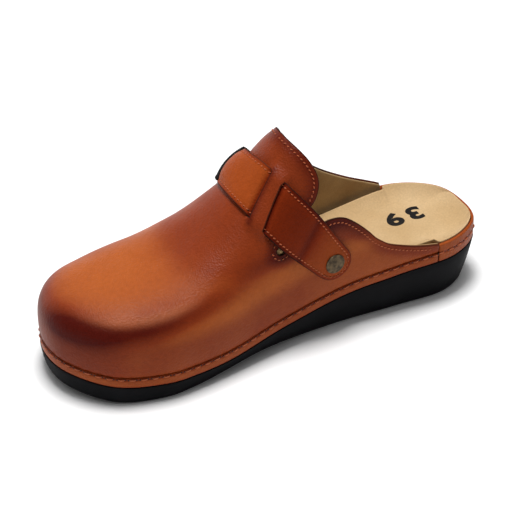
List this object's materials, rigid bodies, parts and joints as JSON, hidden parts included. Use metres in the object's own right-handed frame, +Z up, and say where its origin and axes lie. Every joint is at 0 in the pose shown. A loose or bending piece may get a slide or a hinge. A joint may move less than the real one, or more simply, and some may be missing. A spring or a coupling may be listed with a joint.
{
  "type": "leather clog",
  "caption": "Backless leather clog for the left foot: rounded closed toe, riveted instep strap threaded under a strip of the vamp, suede footbed, black wedge outsole.",
  "frame": {"origin": "on the ground, under the centre of the shoe's bounding box", "axes": "+X from the heel to the toe, +Y to the outer side of the foot, +Z up"},
  "size_m": [0.2722, 0.0984, 0.1232],
  "materials": {
    "tan_leather": "burnished cognac leather, semi-gloss",
    "strap_leather": "burnished red-brown leather, semi-gloss",
    "lining": "beige lining leather, matt",
    "suede": "beige suede, matt",
    "cork": "pressed cork, matt",
    "board": "fibre board, matt",
    "black_rubber": "black moulded rubber, matt",
    "elastic": "black woven elastic, matt",
    "antique_brass": "antique brass, satin",
    "yarn": "waxed orange-tan yarn"
  },
  "bodies": {
    "root": {"footbed_core": "cork", "footbed_cover": "suede", "insole_board": "board", "outsole": "black_rubber", "quarter_yarn_inner": "yarn", "quarter_yarn_outer": "yarn", "rand_heel": "tan_leather", "rand_inner": "tan_leather", "rand_outer": "tan_leather", "rand_yarn_heel": "yarn", "rand_yarn_inner": "yarn", "rand_yarn_outer": "yarn", "rivet_burr": "antique_brass", "rivet_cap": "antique_brass", "strap": "strap_leather", "strap_backing": "lining", "strap_elastic": "elastic", "strap_yarn": "yarn", "toe_puff": "board", "tongue_yarn": "yarn", "upper": "tan_leather", "upper_lining": "lining"}
  },
  "joints": []
}
